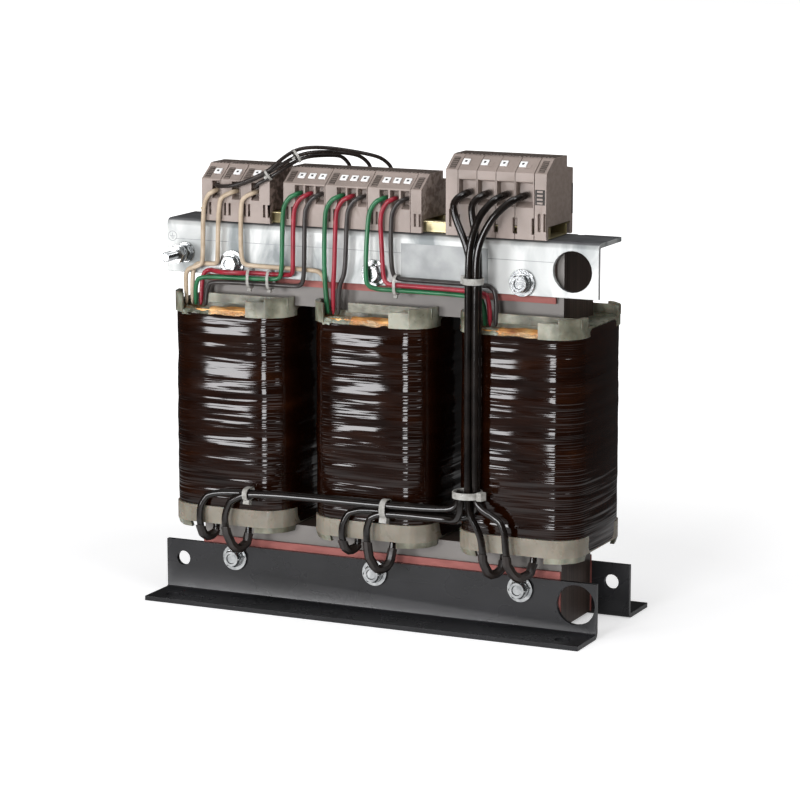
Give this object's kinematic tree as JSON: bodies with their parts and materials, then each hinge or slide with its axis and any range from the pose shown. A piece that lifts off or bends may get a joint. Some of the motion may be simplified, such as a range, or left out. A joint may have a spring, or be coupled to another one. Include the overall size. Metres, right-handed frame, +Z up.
{
  "type": "control transformer",
  "caption": "Open-frame transformer: laminated core, varnished coils on formers, bent clamp brackets, rail terminals and laced leads.",
  "frame": {"origin": "centre of the footprint, on the floor that the foot brackets stand on", "axes": "+X along the core from the signal terminals to the power terminals, +Y from the wired front to the back, +Z up"},
  "size_m": [0.298, 0.1192, 0.2926],
  "materials": {
    "lamination": "varnished stacked sheet steel, brown-grey, fine layer lines on the ends",
    "insulation_board": "matt pink-red board",
    "black_paint": "satin black paint on bent sheet steel",
    "bright_zinc": "bright galvanised sheet with faint smudges",
    "zinc_steel": "zinc-plated fasteners",
    "former_plastic": "pale grey-green moulding, slightly translucent",
    "copper_winding": "copper wire and amber film under varnish",
    "varnished_wrap": "very dark brown wrinkled wrap under gloss varnish",
    "yellow_zinc": "yellow-passivated zinc",
    "terminal_plastic": "taupe-grey moulding",
    "beige_sleeve": "beige braided sleeve",
    "green_sleeve": "green insulation",
    "red_sleeve": "red insulation",
    "black_sleeve": "black insulation",
    "gloss_black_sleeve": "thick glossy black insulation",
    "thin_black_sleeve": "thin black insulation"
  },
  "bodies": {
    "root": {"core_laminations": "lamination", "insulation_strip_bottom_front": "insulation_board", "insulation_strip_bottom_back": "insulation_board", "insulation_strip_top_front": "insulation_board", "insulation_strip_top_back": "insulation_board", "bottom_bracket_front": "black_paint", "bottom_bracket_back": "black_paint", "top_bracket": "bright_zinc", "rear_clamp_bar": "bright_zinc", "clamp_bolt_bottom_left": "zinc_steel", "clamp_bolt_bottom_centre": "zinc_steel", "clamp_bolt_bottom_right": "zinc_steel", "clamp_bolt_top_left": "zinc_steel", "clamp_bolt_top_centre": "zinc_steel", "clamp_bolt_top_right": "zinc_steel", "earth_stud": "zinc_steel", "bobbin_left": "former_plastic", "bobbin_centre": "former_plastic", "bobbin_right": "former_plastic", "inner_winding_left": "copper_winding", "inner_winding_centre": "copper_winding", "inner_winding_right": "copper_winding", "outer_winding_left": "varnished_wrap", "outer_winding_centre": "varnished_wrap", "outer_winding_right": "varnished_wrap", "din_rail": "yellow_zinc", "signal_terminal_1": "terminal_plastic", "signal_terminal_2": "terminal_plastic", "signal_terminal_3": "terminal_plastic", "phase_terminal_1": "terminal_plastic", "phase_terminal_2": "terminal_plastic", "phase_terminal_3": "terminal_plastic", "phase_end_clamp": "terminal_plastic", "power_end_clamp_left": "terminal_plastic", "power_terminal_1": "terminal_plastic", "power_terminal_2": "terminal_plastic", "power_terminal_3": "terminal_plastic", "power_terminal_4": "terminal_plastic", "power_end_clamp_right": "terminal_plastic", "signal_lead_1": "beige_sleeve", "signal_lead_2": "beige_sleeve", "signal_lead_3": "beige_sleeve", "tap_lead_1_green": "green_sleeve", "tap_lead_1_red": "red_sleeve", "tap_lead_1_black": "black_sleeve", "tap_lead_2_green": "green_sleeve", "tap_lead_2_red": "red_sleeve", "tap_lead_2_black": "black_sleeve", "tap_lead_3_green": "green_sleeve", "tap_lead_3_red": "red_sleeve", "tap_lead_3_black": "black_sleeve", "power_lead_1": "gloss_black_sleeve", "power_lead_2": "gloss_black_sleeve", "power_lead_3": "gloss_black_sleeve", "power_lead_4": "gloss_black_sleeve", "star_link_1": "gloss_black_sleeve", "star_link_2": "gloss_black_sleeve", "signal_link_1": "thin_black_sleeve", "signal_link_2": "thin_black_sleeve", "signal_link_3": "thin_black_sleeve"}
  },
  "joints": []
}
